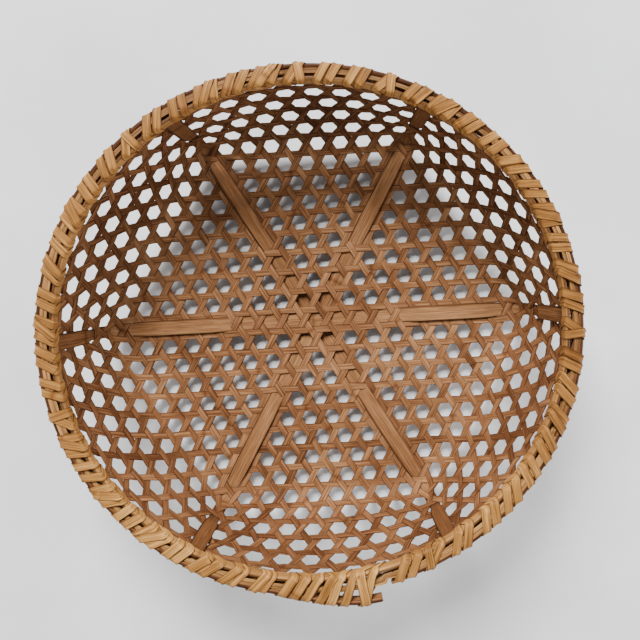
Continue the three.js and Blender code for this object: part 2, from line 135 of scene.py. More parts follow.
# Hoops' ends, in degrees round the rim.
INNER_START = 40
INNER_LAP = 12  # in which the inner hoop laps over its start
HOOP_END = 281.6  # the outer hoop's free end
HOOP_START = 288  # its other end
END_DRIFT = 14  # how far the outer hoop's free end stands out
DRIFT_DEGREES = 25  # in which it comes to stand out
PAST_END = 1.5  # degrees past the end to which the rim still stands out

# Stretches of the rim, in degrees, where rough splints fill the channel to its top.
TOP_STRETCHES = ((5, 48), (92, 128), (140, 205), (238, 262), (284, 338))
TOP_SPLINT_OFF_MIDDLE = 1.65  # of the channel
TOP_SPLINT_DROP = 0.15  # below the rim's top
SPLINT_FACE = 5
SPLINT_DEGREES = 120  # three splints, end to end, go round the rim

# Binding
BINDINGS = 6  # lengths that share the rim
BINDING_THICKNESS = 0.6
BINDING_WIDTH = 8.5
BINDING_WIDTH_IN_HOLE = 5.0
BINDING_GAP = 0.12  # between the binding and the hoops
BINDING_WIDTHS = (0.88, 1.06)  # the narrowest and the widest turn, over the usual width
BINDING_SLANTS = (7, 13)  # length along the rim by which a turn leans as it goes over it
BINDING_RAISED = 0.05  # keeps the faces of neighbouring turns apart

# Turns beside the outer hoop's free end lie off their holes by these lengths.
SHIFTED_TURNS = {36: -5, 37: -12, 38: -19, 39: -5, 40: -9, 41: -5}
# Turns lean most beside this column.
MOST_LEANING = 39.5
MORE_LEANING = 6  # how much more than the usual slant
LEANING_COLUMNS = 5  # off that column, until they lean little more than the usual

# Grain, in metres
RING_GAP = 0.27  # from one of the bamboo's joint rings to the next
GRAIN_LENGTHS = 40  # each piece's grain starts somewhere in a length like this
SIDE_GRAIN = 0.4  # how far the grain moves over a piece's side, over its thickness
SHARP_EDGE = 35  # degrees from which an edge is shaded as sharp

dice = random.Random(7)


def smooth(share):
    """0 up to 0, 1 from 1 on, and an even curve between."""
    held = np.clip(share, 0, 1)
    return held * held * (3 - 2 * held)


# The bowl's surface


def roundness(row):
    """How round the wall is at a row: 0 at the hexagonal base's edge, 1 where it is upright."""
    return 1 - (1 - np.minimum(row / ROWS_TO_RIM, 1)) ** WALL_CURVE


def wall_knots(column, turn_height=None):
    """The wall's knots above some columns: rows and points, then the last row's radius and height.

    The wall comes upright at the turn. Its knots follow there once its height is known.
    """
    side = np.round(column / RINGS)
    across = (column - side * RINGS) / (RINGS / 2)
    middle = (side + 0.5) * math.pi / 3
    stretch = np.sqrt(1 + across * across / 3)
    on_hexagon = np.arctan(across / math.sqrt(3))
    on_circle = across * math.pi / 6
    radius = (EDGE - BEND_ROWS * ROW) * stretch
    height = np.zeros_like(column)
    rows, points = [], []

    def put(row, r, angle, z):
        rows.append(row)
        points.append(np.stack((r * np.cos(angle), r * np.sin(angle), z), -1))

    put(np.full_like(column, -BEND_ROWS), radius, middle + on_hexagon, height)
    before = -BEND_ROWS
    for row in KNOT_ROWS:
        share = roundness(row)
        r = EDGE * stretch * (1 - share) + RIM_RADIUS * share
        height = height + np.sqrt(((row - before) * ROW) ** 2 - (r - radius) ** 2)
        radius, before = r, row
        angle = middle + on_hexagon * (1 - share) + on_circle * share
        put(np.full_like(column, row), r, angle, height)
    if turn_height is not None:
        turn_row = KNOT_ROWS[-1] + np.hypot(RIM_RADIUS - radius, turn_height - height) / ROW
        rim = np.full_like(column, RIM_RADIUS)
        put(turn_row, rim, middle + on_circle, np.full_like(column, turn_height))
        put(turn_row + 2, rim, middle + on_circle, np.full_like(column, turn_height + 2 * ROW))
    return rows, points, radius, height


last_radius, last_height = (float(value[0]) for value in wall_knots(np.zeros(1))[2:])
TURN_Z = last_height + math.sqrt((SLACK_ROWS * ROW) ** 2 - (RIM_RADIUS - last_radius) ** 2)


def raw_surface(row, column, side):
    """Points of the bowl with sharp bends. side is the base's side whose plane they leave."""
    rows, points = wall_knots(column, TURN_Z)[:2]
    if side is not None:
        middle = (side + 0.5) * math.pi / 3
        deep = EDGE + np.minimum(row, -BEND_ROWS) * ROW
        along_side = (column - side * RINGS) * PITCH
        points[0] = np.stack((deep * np.cos(middle) - along_side * np.sin(middle),
                              deep * np.sin(middle) + along_side * np.cos(middle),
                              np.zeros_like(row)), -1)
    result = points[0].copy()
    for i in range(len(rows) - 1):
        share = np.clip((row - rows[i]) / (rows[i + 1] - rows[i]), 0, 1)
        between = points[i] + (points[i + 1] - points[i]) * share[:, None]
        result = np.where((row > rows[i])[:, None], between, result)
    return result


def surface(row, column, side=None):
    """Smoothed points of the bowl."""
    total = 0
    for row_shift, row_weight in ROWS_AROUND:
        for column_shift, column_weight in COLUMNS_AROUND:
            weight = row_weight * column_weight / ALL_WEIGHTS
            total = total + weight * raw_surface(row + row_shift, column + column_shift, side)
    return total


def surface_with_inside(row, column, side=None):
    """Smoothed points of the bowl, and the direction to its inside there."""
    here = surface(row, column, side)
    up = surface(row + NEXT, column, side) - here
    on = surface(row, column + NEXT, side) - here
    inside = np.cross(up, on)
    return here, inside / np.linalg.norm(inside, axis=1)[:, None]


# Split bamboo: a straight length is modelled once, and copies are bent to their places


def select_edges(piece, wanted):
    bpy.ops.object.mode_set(mode="OBJECT")
    mesh = piece.data
    for part in (mesh.vertices, mesh.edges, mesh.polygons):
        part.foreach_set("select", [False] * len(part))
    for edge in mesh.edges:
        a, b = (mesh.vertices[i].co for i in edge.vertices)
        edge.select = wanted(a, b)
    bpy.ops.object.mode_set(mode="EDIT")


def is_long(a, b):
    return abs(a.x - b.x) > TINY and (a - b).yz.length < TINY


def straight_bamboo(name, width, thickness, edge, cuts, rounding=1):
    """Straight split bamboo along X, its outer skin up, with worn edges.

    Each round of cuts divides every length that the round before it left.
    """
    bpy.ops.object.select_all(action="DESELECT")
    bpy.ops.mesh.primitive_cube_add(size=1)
    piece = bpy.context.object
    piece.name = name
    bpy.ops.object.mode_set(mode="EDIT")
    bpy.ops.mesh.select_mode(type="EDGE")
    bpy.ops.transform.resize(value=(PATTERN_LENGTH, width, thickness))
    select_edges(piece, is_long)
    bpy.ops.mesh.bevel(offset=edge, segments=rounding)
    for number in cuts:
        select_edges(piece, is_long)
        bpy.ops.mesh.subdivide(number_cuts=number)
    bpy.ops.object.mode_set(mode="OBJECT")
    return piece


def bend(pattern, name, path, material, tone=0.5, painted_wall_shade=0.0):
    """A copy of a straight length, bent along a path and given its grain and its tone.

    At each share of the piece's length, a path says where its middle is, which way its outer skin
    faces, and its width and thickness over the straight length's. The tone is also painted darker
    up the wall, as painted shade.
    """
    mesh = pattern.data.copy()
    mesh.name = name
    piece = bpy.data.objects.new(name, mesh)
    bpy.context.scene.collection.objects.link(piece)
    co = np.zeros(len(mesh.vertices) * 3)
    mesh.vertices.foreach_get("co", co)
    co = co.reshape(-1, 3)
    stations, which = np.unique(np.round(co[:, 0], 4), return_inverse=True)
    which = which.reshape(-1)
    share = (stations - stations[0]) / (stations[-1] - stations[0])
    centre, inside, wide, thick = path(share)
    ahead = np.gradient(centre, axis=0)
    ahead /= np.linalg.norm(ahead, axis=1)[:, None]
    across = np.cross(inside, ahead)
    across /= np.linalg.norm(across, axis=1)[:, None]
    inside = np.cross(ahead, across)
    y = co[:, 1] * wide[which]
    z = co[:, 2] * thick[which]
    placed = centre[which] + across[which] * y[:, None] + inside[which] * z[:, None]
    risen = smooth(placed[:, 2:] / RIM_BOTTOM)
    placed = placed * (1 + OUT_OF_ROUND * risen) + OFF_MIDDLE * risen + MIDDLE
    mesh.vertices.foreach_set("co", (placed * MM).ravel())
    lengths = np.linalg.norm(np.diff(centre, axis=0), axis=1)
    run = np.concatenate(([0], np.cumsum(lengths)))
    corners = np.zeros(len(mesh.loops), int)
    mesh.loops.foreach_get("vertex_index", corners)
    grain = np.stack((run[which] * MM + dice.uniform(0, GRAIN_LENGTHS),
                      (co[:, 1] + co[:, 2] * SIDE_GRAIN) * MM), -1)
    layer = mesh.uv_layers.get("grain") or mesh.uv_layers.new(name="grain")
    layer.data.foreach_set("uv", grain[corners].ravel())
    # The tone includes painted shade: it is painted darker with height where the piece climbs the
    # wall.
    shade = mesh.attributes.new("tone", "FLOAT", "POINT")
    shade.data.foreach_set("value", tone - painted_wall_shade * smooth(centre[which][:, 2] / DARK_FROM))
    mesh.materials.clear()
    mesh.materials.append(material)
    mesh.update()
    dress(piece)
    return piece


def dress(piece):
    """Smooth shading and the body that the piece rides."""
    bpy.ops.object.select_all(action="DESELECT")
    bpy.context.view_layer.objects.active = piece
    piece.select_set(True)
    bpy.ops.object.shade_smooth_by_angle(angle=math.radians(SHARP_EDGE))
    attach(piece, "root")


def soften(points, rounds):
    """Cuts the corners of an open line of points."""
    points = np.asarray(points, float)
    for _ in range(rounds):
        near = points[:-1] * 0.75 + points[1:] * 0.25
        far = points[:-1] * 0.25 + points[1:] * 0.75
        between = np.stack((near, far), 1).reshape(-1, points.shape[1])[1:-1]
        points = np.concatenate((points[:1], between, points[-1:]))
    return points


def along(points, share):
    """Values of a line of points at even shares of its length. The first three are its places."""
    lengths = np.linalg.norm(np.diff(points[:, :3], axis=0), axis=1)
    run = np.concatenate(([0], np.cumsum(lengths)))
    return np.stack([np.interp(share * run[-1], run, values) for values in points.T], -1)


# Materials


def node(tree, kind, **settings):
    made = tree.nodes.new(kind)
    for key, value in settings.items():
        setattr(made, key, value)
    return made


def stretched_noise(tree, vector, scale, detail, roughness=0.55):
    mapping = node(tree, "ShaderNodeMapping")
    mapping.inputs["Scale"].default_value = scale
    tree.links.new(vector, mapping.inputs["Vector"])
    noise = node(tree, "ShaderNodeTexNoise")
    noise.inputs["Scale"].default_value = 1
    noise.inputs["Detail"].default_value = detail
    noise.inputs["Roughness"].default_value = roughness
    tree.links.new(mapping.outputs["Vector"], noise.inputs["Vector"])
    return noise.outputs["Fac"]


def calculate(tree, operation, *values):
    made = node(tree, "ShaderNodeMath", operation=operation)
    for socket, value in zip(made.inputs, values):
        if isinstance(value, (int, float)):
            socket.default_value = value
        else:
            tree.links.new(value, socket)
    return made.outputs[0]


def ramp(tree, value, stops):
    made = node(tree, "ShaderNodeValToRGB")
    while len(made.color_ramp.elements) < len(stops):
        made.color_ramp.elements.new(0.5)
    for element, (place, color) in zip(made.color_ramp.elements, stops):
        element.position = place
        element.color = (*color, 1)
    tree.links.new(value, made.inputs["Fac"])
    return made.outputs["Color"]


def multiply_colors(tree, factor, first, second):
    made = node(tree, "ShaderNodeMix", data_type="RGBA", blend_type="MULTIPLY")
    made.inputs["Factor"].default_value = factor
    for socket, value in ((made.inputs[6], first), (made.inputs[7], second)):
        tree.links.new(value, socket)
    return made.outputs[2]


def bamboo(name, dark, middle, light, width, streaks, roughness=0.5, relief=0.55, gloss=0.18):
    """Split bamboo: fibres along the strip, a joint ring now and then, and painted shade along its
    edges.
    """
    material = bpy.data.materials.new(name)
    material.use_nodes = True
    tree = material.node_tree
    shader = tree.nodes["Principled BSDF"]
    grain = node(tree, "ShaderNodeUVMap", uv_map="grain").outputs["UV"]
    place = node(tree, "ShaderNodeTexCoord").outputs["Object"]
    tone = node(tree, "ShaderNodeAttribute", attribute_name="tone").outputs["Fac"]
    split = node(tree, "ShaderNodeSeparateXYZ")
    tree.links.new(grain, split.inputs[0])
    run, across = split.outputs["X"], split.outputs["Y"]

    broad = stretched_noise(tree, grain, (13, 480, 1), 5, 0.65)
    fibres = stretched_noise(tree, grain, (30, 1300, 1), 4, 0.7)
    patches = stretched_noise(tree, place, (11, 11, 11), 4)
    lengths = stretched_noise(tree, grain, (14, 30, 1), 3)

    # The color follows a sum of parts that are each about a half, brought back to about a half.
    patchy, lengthwise, by_tone = 0.5, 0.45, 0.5
    value = calculate(tree, "MULTIPLY", broad, streaks)
    value = calculate(tree, "MULTIPLY_ADD", patches, patchy, value)
    value = calculate(tree, "MULTIPLY_ADD", lengths, lengthwise, value)
    value = calculate(tree, "MULTIPLY_ADD", tone, by_tone, value)
    surplus = patchy / 2 + streaks / 2 + lengthwise / 2 + by_tone / 2 - 0.5
    value = calculate(tree, "SUBTRACT", value, surplus)
    color = ramp(tree, value, ((0.22, dark), (0.5, middle), (0.78, light)))
    thread = ramp(tree, fibres, ((0.38, (0.38, 0.32, 0.27)), (0.53, (1, 1, 1))))
    color = multiply_colors(tree, min(streaks, 1) * 0.8, color, thread)

    ring_place = calculate(tree, "FRACT", calculate(tree, "DIVIDE", run, RING_GAP))
    ring_near = calculate(tree, "ABSOLUTE", calculate(tree, "SUBTRACT", ring_place, 0.5))
    ring_shade = ramp(tree, ring_near, (
        (0.0, (0.45, 0.36, 0.3)), (0.006, (0.72, 0.62, 0.55)), (0.014, (1, 1, 1))))
    color = multiply_colors(tree, 0.8, color, ring_shade)

    # Painted shade: a dark band along each edge stands in for the shadow gaps where strips meet and
    # overlap.
    off = calculate(tree, "ABSOLUTE", across)
    edge_place = calculate(tree, "DIVIDE", off, width / 2 * MM)
    painted_edge_shade = ramp(tree, edge_place, ((0.78, (1, 1, 1)), (0.96, (0.26, 0.2, 0.15))))
    color = multiply_colors(tree, 0.9, color, painted_edge_shade)
    tree.links.new(color, shader.inputs["Base Color"])

    rough = node(tree, "ShaderNodeMapRange")
    rough.inputs["From Min"].default_value = 0.3
    rough.inputs["From Max"].default_value = 0.7
    rough.inputs["To Min"].default_value = roughness + 0.14
    rough.inputs["To Max"].default_value = roughness - 0.08
    tree.links.new(broad, rough.inputs["Value"])
    tree.links.new(rough.outputs["Result"], shader.inputs["Roughness"])
    shader.inputs["Specular IOR Level"].default_value = gloss

    ring_height = calculate(tree, "LESS_THAN", ring_near, 0.007)
    height = calculate(tree, "MULTIPLY_ADD", ring_height, 0.4, fibres)
    height = calculate(tree, "MULTIPLY_ADD", broad, 0.7, height)
    bump = node(tree, "ShaderNodeBump")
    bump.inputs["Strength"].default_value = relief
    bump.inputs["Distance"].default_value = 0.0004
    tree.links.new(height, bump.inputs["Height"])
    tree.links.new(bump.outputs["Normal"], shader.inputs["Normal"])
    return material


WEAVE = bamboo("aged_weave", (0.082, 0.03, 0.011), (0.2, 0.088, 0.036), (0.37, 0.188, 0.088),
               STRIP_WIDTH, streaks=1.2, roughness=0.6, relief=0.5, gloss=0.06)
BARS = bamboo("bar_bamboo", (0.12, 0.049, 0.018), (0.235, 0.108, 0.044), (0.36, 0.19, 0.087),
              BAR_WIDTH, streaks=1.0, roughness=0.6, gloss=0.06)
INNER = bamboo("inner_hoop_bamboo", (0.14, 0.056, 0.015), (0.32, 0.15, 0.041),
               (0.52, 0.285, 0.092), HOOP_FACE, streaks=1.0)
OUTER = bamboo("outer_hoop_bamboo", (0.10, 0.037, 0.013), (0.20, 0.08, 0.028),
               (0.32, 0.145, 0.052), HOOP_FACE, streaks=1.1, gloss=0.12)
SPLINTS = bamboo("splint_bamboo", (0.11, 0.046, 0.014), (0.29, 0.135, 0.04), (0.50, 0.27, 0.09),
                 SPLINT_FACE, streaks=1.1, roughness=0.6)
BINDING = bamboo("binding_bamboo", (0.098, 0.033, 0.007), (0.318, 0.145, 0.036),
                 (0.67, 0.375, 0.117), BINDING_WIDTH, streaks=0.95, roughness=0.52,
                 relief=0.28, gloss=0.11)


# Weave


def over_under(phase):
    """Height of a strip over the weave's middle: 1 where it passes over, -1 under."""
    turned = np.cos(2 * math.pi * phase)
    return np.tanh(CROSSING_STEEPNESS * turned) / math.tanh(CROSSING_STEEPNESS)


def give_way(centre):
    """How far the weave is pushed up over a bar's end and down under its length."""
    push = np.zeros(len(centre))
    for bar_end in range(2 * BARS_CROSSING):
        turned = bar_end * math.pi / 3
        for holes, height in BAR_PUSHES:
            x = holes * PITCH * math.cos(turned)
            y = holes * PITCH * math.sin(turned)
            far = np.hypot(centre[:, 0] - x, centre[:, 1] - y)
            push += height * np.exp(-far ** 2 / (2 * PUSH_REACH ** 2))
    return push * (centre[:, 2] < PUSHED_BELOW)


def end_row(column):
    """The row where a strip stops, a little below the rim's top."""
    turn_row = wall_knots(np.array([column]), TURN_Z)[0][-2][0]
    return float(turn_row + (RIM_TOP - STRIP_END_BELOW_TOP - TURN_Z) / ROW)


def diagonal_strip(side, offset, wobble, width):
    """Path of a strip that crosses the base beside a side and climbs the walls at both ends."""
    to_edge = RINGS - (offset + 0.5) / 2
    half = to_edge + end_row((RINGS - 1) / 2 - offset + ROWS_TO_RIM / 2)
    sway, first_phase, second_phase = wobble

    def path(share):
        s = (share * 2 - 1) * half  # pitches from the strip's middle
        lean = np.where(s < 0, -1, 1)
        row = np.abs(s) - to_edge
        centre = np.zeros((len(s), 3))
        inside = np.zeros((len(s), 3))
        for way in (-1, 1):
            pick = lean == way
            beside = side + way
            column = beside * RINGS + way * ((RINGS - 1) / 2 - offset + row[pick] / 2)
            centre[pick], inside[pick] = surface_with_inside(row[pick], column, beside)
        phase = s - offset / 2 - 0.25  # whole where the strip passes over another
        lift = over_under(phase) * WEAVE_LIFT
        across = np.cross(inside, np.gradient(centre, axis=0))
        across /= np.linalg.norm(across, axis=1)[:, None]
        # The strip sways to both sides, and its width varies a little.
        drift = sway * np.sin(s * 0.7 + first_phase) + 0.22 * np.sin(s * 2.3 + second_phase)
        lift = lift + give_way(centre)
        centre = centre + inside * lift[:, None] + across * drift[:, None]
        wide = width * (1 + 0.03 * np.sin(s * 1.1 + second_phase))
        return centre, inside, wide, np.ones(len(s))

    return path


def weave_base_and_walls():
    pattern = straight_bamboo("strip_pattern", STRIP_WIDTH, STRIP_THICKNESS, WORN_EDGE, (14, 14))
    strips = [(side, offset) for side in range(SIDES) for offset in range(RINGS - 1, -1, -1)]
    for i, (side, offset) in enumerate(strips):
        wobble = (dice.uniform(0.1, 0.4), dice.uniform(0, PHASES), dice.uniform(0, PHASES))
        path = diagonal_strip(side, offset, wobble, dice.uniform(*STRIP_WIDTHS))
        tone = min(max(dice.gauss(0.5, 0.12), 0), 1)
        name = f"woven_strip_{i + 1:02d}"
        strip = bend(pattern, name, path, WEAVE, tone, WALL_SHADE_AND_PATINA)
        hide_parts(f"strip_pair_{i // 2 + 1:02d}")
    bpy.data.objects.remove(pattern)


def wall_strip(ring, start):
    """Path of a strip that goes level round the wall and laps over its own start."""

    def path(share):
        column = start + share * (COLUMNS + WALL_STRIP_LAP)
        row = np.full_like(column, ring + 0.5)
        centre, inside = surface_with_inside(row, column)
        lift = -over_under(column - ring / 2 - 0.25) * WEAVE_LIFT
        # Where it laps, its two ends step apart and are half as thick.
        at_start = 1 - smooth((column - start - WALL_STRIP_LAP) / LAP_STEP + 1)
        at_end = smooth((column - start - COLUMNS) / LAP_STEP + 1)
        shift = (at_end - at_start) * STRIP_THICKNESS / 4
        thick = 1 - 0.5 * np.maximum(at_start, at_end)
        return centre + inside * (lift + shift)[:, None], inside, np.ones(len(column)), thick

    return path


def weave_wall():
    pattern = straight_bamboo("wall_strip_pattern", STRIP_WIDTH, STRIP_THICKNESS, WORN_EDGE,
                              (21, 19))
    for ring in range(WALL_STRIPS):
        path = wall_strip(ring, dice.uniform(0, COLUMNS))
        tone = dice.uniform(0.35, 0.6)
        strip = bend(pattern, f"wall_ring_{ring + 1}", path, WEAVE, tone, WALL_SHADE_AND_PATINA)
        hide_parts(f"wall_strip_{ring + 1}")
    bpy.data.objects.remove(pattern)


# Bars


def corner_point(row, inward):
    """Radius and height of a point over the wall's corner line."""
    here, inside = surface_with_inside(np.array([float(row)]), np.array([RINGS / 2]))
    at = here[0] + inside[0] * inward
    return math.hypot(at[0], at[1]), at[2]


def bar_path(bar):
    """Path from rim to rim.

    A bar lies under the weave in the middle, comes up at the fourth hole, goes down at the
    eighth, climbs outside the corner and comes in again below the rim.
    """
    level = -BAR_SEAT - bar * BAR_STEP
    seat = WEAVE_HALF + BAR_THICKNESS / 2 + BAR_GAP
    near = level - (seat + level) * BAR_RISE
    # Points from the middle to one end: radius, height, and share of the bar's width.
    half = [(0, level, 1.0), (17, level, 1.0), (37, near, 1.0), (76, near * 0.72, 1.0),
            (88, -1.0, 0.97), (4 * PITCH, 0.1, 0.93), (106, 1.1, 0.97), (118, seat - 0.2, 1.0),
            (130, seat, 1.0), (165, seat, 1.0), (175, seat - 0.2, 1.0), (186, 1.1, 0.97),
            (8 * PITCH, 0.1, 0.9), (203, -1.0, 0.8), (209, -1.8, 0.74)]
    for row, inward, wide in BAR_UP_CORNER:
        half.append((*corner_point(row, inward), wide))
    half.append((RIM_RADIUS - BAR_END_INSIDE_RIM, RIM_BOTTOM - 4, 0.9))
    half.append((RIM_RADIUS - BAR_END_INSIDE_RIM, RIM_BOTTOM + 1, 0.88))
    whole = [(-r, z, wide) for r, z, wide in reversed(half[1:])] + half
    line = soften([(r, 0, z, wide) for r, z, wide in whole], 3)
    turned = bar * math.pi / 3

    def path(share):
        r, _, z, wide = along(line, share).T
        centre = np.stack((r * math.cos(turned), r * math.sin(turned), z), -1)
        ahead = np.gradient(centre, axis=0)
        sideways = np.array((-math.sin(turned), math.cos(turned), 0))
        inside = np.cross(ahead, sideways)
        inside /= np.linalg.norm(inside, axis=1)[:, None]
        return centre, inside, wide, np.ones(len(share))

    return path


def tuck_in_bars():
    pattern = straight_bamboo("bar_pattern", BAR_WIDTH, BAR_THICKNESS, BAR_EDGE, (15, 15))
    for bar in range(BARS_CROSSING):
        # Lower bars get a darker tone, as painted shade of their depth.
        made = bend(pattern, f"base_bar_{bar + 1}", bar_path(bar), BARS,
                    BAR_TONE - BAR_DEPTH_PAINTED_SHADE * bar, BAR_WALL_PAINTED_SHADE)
        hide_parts(f"bar_{bar + 1}")
    bpy.data.objects.remove(pattern)


# Rim


def end_drift(degrees):
    """How far the outer hoop's free end stands out from the rim."""
    past_end = (degrees - HOOP_END + 180) % 360 - 180
    return END_DRIFT * smooth(past_end / DRIFT_DEGREES + 1) * (past_end < PAST_END)


def hoop(inner, outer, first, last, drifting, wander):
    """Path of a hoop from one end's angle to the other's, in degrees."""

    def path(share):
        degrees = first + share * (last - first)
        angle = np.radians(degrees)
        out = end_drift(degrees) if drifting else 0
        radius = (inner + outer) / 2 + out + wander * np.sin(angle * 5 + inner)
        height = (RIM_BOTTOM + RIM_TOP) / 2 + wander * np.sin(angle * 7 + outer)
        centre = np.stack((radius * np.cos(angle), radius * np.sin(angle), height), -1)
        inside = np.stack((-np.cos(angle), -np.sin(angle), 0 * angle), -1)
        thick = np.ones(len(share))
        if not drifting:
            near_end = np.minimum(degrees - first, last - degrees)
            thick = 0.5 + 0.5 * smooth(near_end / INNER_LAP)
            way = np.where(degrees - first < last - degrees, 1, -1)
            shift = (1 - thick) * (outer - inner) / 2 * way
            centre = centre + inside * shift[:, None]
        return centre, inside, np.ones(len(share)), thick

    return path


def bend_hoop(name, path, radii, material, node_name, tone=0.5):
    pattern = straight_bamboo(f"{node_name}_pattern", RIM_TOP - RIM_BOTTOM, radii[1] - radii[0],
                              HOOP_ROUNDING, (15, 15), rounding=4)
    made = bend(pattern, name, path, material, tone)
    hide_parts(node_name)
    bpy.data.objects.remove(pattern)


def bend_hoops():
    path = hoop(*INNER_HOOP, INNER_START, INNER_START + 360 + INNER_LAP, drifting=False,
                wander=0.12)
    bend_hoop("inner_rim_hoop", path, INNER_HOOP, INNER, "inner_hoop")
    path = hoop(*OUTER_HOOP, HOOP_START, HOOP_END + 360, drifting=True, wander=0.1)
    bend_hoop("outer_rim_hoop", path, OUTER_HOOP, OUTER, "outer_hoop", OUTER_TONE)


def splint_path(radius, height, first, last, phase, roll, dip):
    """Path of a rough splint in the channel. It lies flat at a quarter turn of roll."""

    def path(share):
        degrees = first + share * (last - first)
        angle = np.radians(degrees)
        out = end_drift(degrees) * (radius - CHANNEL[0]) / (OUTER_HOOP[1] - CHANNEL[0])
        r = radius + out + 0.35 * np.sin(angle * 9 + phase) + 0.15 * np.sin(angle * 31 + phase * 3)
        wander = np.sin(angle * 8 + phase * 2) + 0.7 * np.sin(angle * 19 + phase)
        z = height - dip * np.clip(wander, 0, 2) + 0.2 * np.sin(angle * 27 + phase)
        centre = np.stack((r * np.cos(angle), r * np.sin(angle), z), -1)
        turned = roll + 0.12 * np.sin(angle * 6 + phase)
        inside = np.stack((-np.cos(angle) * np.cos(turned), -np.sin(angle) * np.cos(turned),
                           np.sin(turned)), -1)
        wide = 1 + 0.15 * np.sin(angle * 13 + phase)
        return centre, inside, wide, np.ones(len(share))

    return path


def lay_splints():
    """Splints in two bundles: upright ones low in the channel, flat ones over them, some on top."""
    upright = straight_bamboo("upright_splint", 3.4, 1.3, 0.3, (15, 7))
    flat = straight_bamboo("flat_splint", 4.2, 0.9, 0.2, (15, 9))
    top = straight_bamboo("top_splint", 3.1, 0.7, 0.2, (9, 7))
    lying = math.pi / 2
    channel_width = CHANNEL[1] - CHANNEL[0]
    # Each bundle's side of the channel, where its upright and its flat splints lie as shares of
    # the channel's width, and how far below the rim's top the flat ones lie.
    for bundle, side, upright_at, flat_at, flat_drops in (("inner", -1, 0.26, 0.44, (0.9, 2.9)),
                                                          ("outer", 1, 0.74, 0.56, (1.9, 3.9))):
        pieces = []
        for pattern, at, roll, dip, drops in ((upright, upright_at, 0, 0.4, (7.5, 9.5)),
                                              (flat, flat_at, lying, 0.5, flat_drops)):
            radius = CHANNEL[0] + at * channel_width
            for drop in drops:
                start = dice.uniform(0, 360)
                for length in range(360 // SPLINT_DEGREES):
                    first = start + length * SPLINT_DEGREES
                    last = first + dice.uniform(SPLINT_DEGREES - 6, SPLINT_DEGREES - 1)
                    path = splint_path(radius, RIM_TOP - drop, first, last,
                                       dice.uniform(0, PHASES), roll, dip)
                    pieces.append(bend(pattern, f"splint_{bundle}_{len(pieces)}", path, SPLINTS,
                                       dice.uniform(0.2, 0.9)))
        radius = (CHANNEL[0] + CHANNEL[1]) / 2 + side * TOP_SPLINT_OFF_MIDDLE
        for first, last in TOP_STRETCHES:
            path = splint_path(radius, RIM_TOP - TOP_SPLINT_DROP, first + dice.uniform(0, 7),
                               last - dice.uniform(0, 7), dice.uniform(0, PHASES), lying, 0.1)
            pieces.append(bend(top, f"top_{bundle}_{len(pieces)}", path, SPLINTS,
                               dice.uniform(0.3, 0.8)))
        bpy.ops.object.select_all(action="DESELECT")
        for piece in pieces:
            piece.select_set(True)
        bpy.context.view_layer.objects.active = pieces[0]
        bpy.ops.object.join()
        pieces[0].name = f"filler_splints_{bundle}"
        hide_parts(f"filler_splint_{bundle}")
    for pattern in (upright, flat, top):
        bpy.data.objects.remove(pattern)


# Binding


def turn_points(column, side, gap, slant, lift, wide):
    """Line of one turn over the rim: radius, height, angle round the rim, width, lift."""
    reach = BINDING_THICKNESS / 2 + BINDING_GAP
    angle = (column + RINGS / 2) * COLUMN_ANGLE
    inner = INNER_HOOP[0] - reach
    outer = OUTER_HOOP[1] + reach
    bottom = RIM_BOTTOM - reach
    top = RIM_TOP + reach
    hole = RIM_RADIUS + WEAVE_HALF + BINDING_THICKNESS
    at_hole = side * BINDING_WIDTH_IN_HOLE / 2
    shift = SHIFTED_TURNS.get(column, 0)
    on_inner = side * gap + slant / 2 + shift
    on_outer = side * gap - slant / 2 + shift
    outer += float(end_drift(math.degrees(angle + on_outer / outer)))
    narrow = BINDING_WIDTH_IN_HOLE / BINDING_WIDTH
    points = [
        (hole, bottom - 0.5, at_hole, narrow, 0),
        (inner + 1, bottom - 0.3, at_hole, narrow, 0),
        (inner, bottom + 1.5, at_hole + (on_inner - at_hole) * 0.3, (narrow + wide) / 2,
         0.1 * lift),
        (inner, (bottom + top) / 2, on_inner - 0.4, wide, 0.6 * lift),
        (inner - 0.05, top - 2.8, on_inner, wide, lift),
        (inner + 0.4, top - 0.8, on_inner - 0.2, wide, lift),
        (inner + 2.2, top - 0.05, (on_inner * 5 + on_outer) / 6 - 0.2, wide, lift),
        ((inner + outer) / 2, top + 0.15, (on_inner + on_outer) / 2, wide, lift),
        (outer - 2.2, top - 0.05, (on_inner + on_outer * 5) / 6 + 0.2, wide, lift),
        (outer - 0.4, top - 0.8, on_outer, wide, lift),
        (outer + 0.05, top - 2.8, on_outer - 0.8, wide, lift),
        (outer, (bottom + top) / 2, on_outer - 1.4, wide, 0.6 * lift),
        (outer, bottom + 1.5, on_outer - 1.4, (narrow + wide) / 2, 0),
        (outer - 1.2, bottom - 0.4, on_outer * 0.8, narrow, 0),
    ]
    return [(r, z, angle + place / r, w, up) for r, z, place, w, up in points]


def turns_at(column):
    """The turns over one hole, as side of it, distance from it, slant and lift."""
    kind = dice.random()
    leaning = math.exp(-((column - MOST_LEANING) / LEANING_COLUMNS) ** 2)
    slant = dice.uniform(*BINDING_SLANTS) + MORE_LEANING * leaning
    beside = BINDING_WIDTH / 2 / math.cos(math.atan(slant / RIM_WIDTH))
    over = BINDING_THICKNESS
    if kind < 0.55:  # side by side
        other_slant = slant + dice.uniform(-1.5, 1.5)
        return (1, beside, slant, BINDING_RAISED), (-1, beside, other_slant, 0)
    if kind < 0.66:  # a little apart
        return (1, beside + 0.9, slant - 1, 0), (-1, beside + 0.9, slant - 3, BINDING_RAISED)
    if kind < 0.76:  # crossed
        return (1, 2.6, slant + 4, 0), (-1, 2.6, slant - 12, over)
    if kind < 0.9:  # one partly over the other
        return (1, beside - 1.4, slant, 0), (-1, beside - 1.4, slant + 3, over)
    # Two apart, and a third one between them that lies over both.
    return (1, 7.6, slant, 0), (-1, 7.6, slant - 2, 0), (-1, 0.5, slant + 6, over)


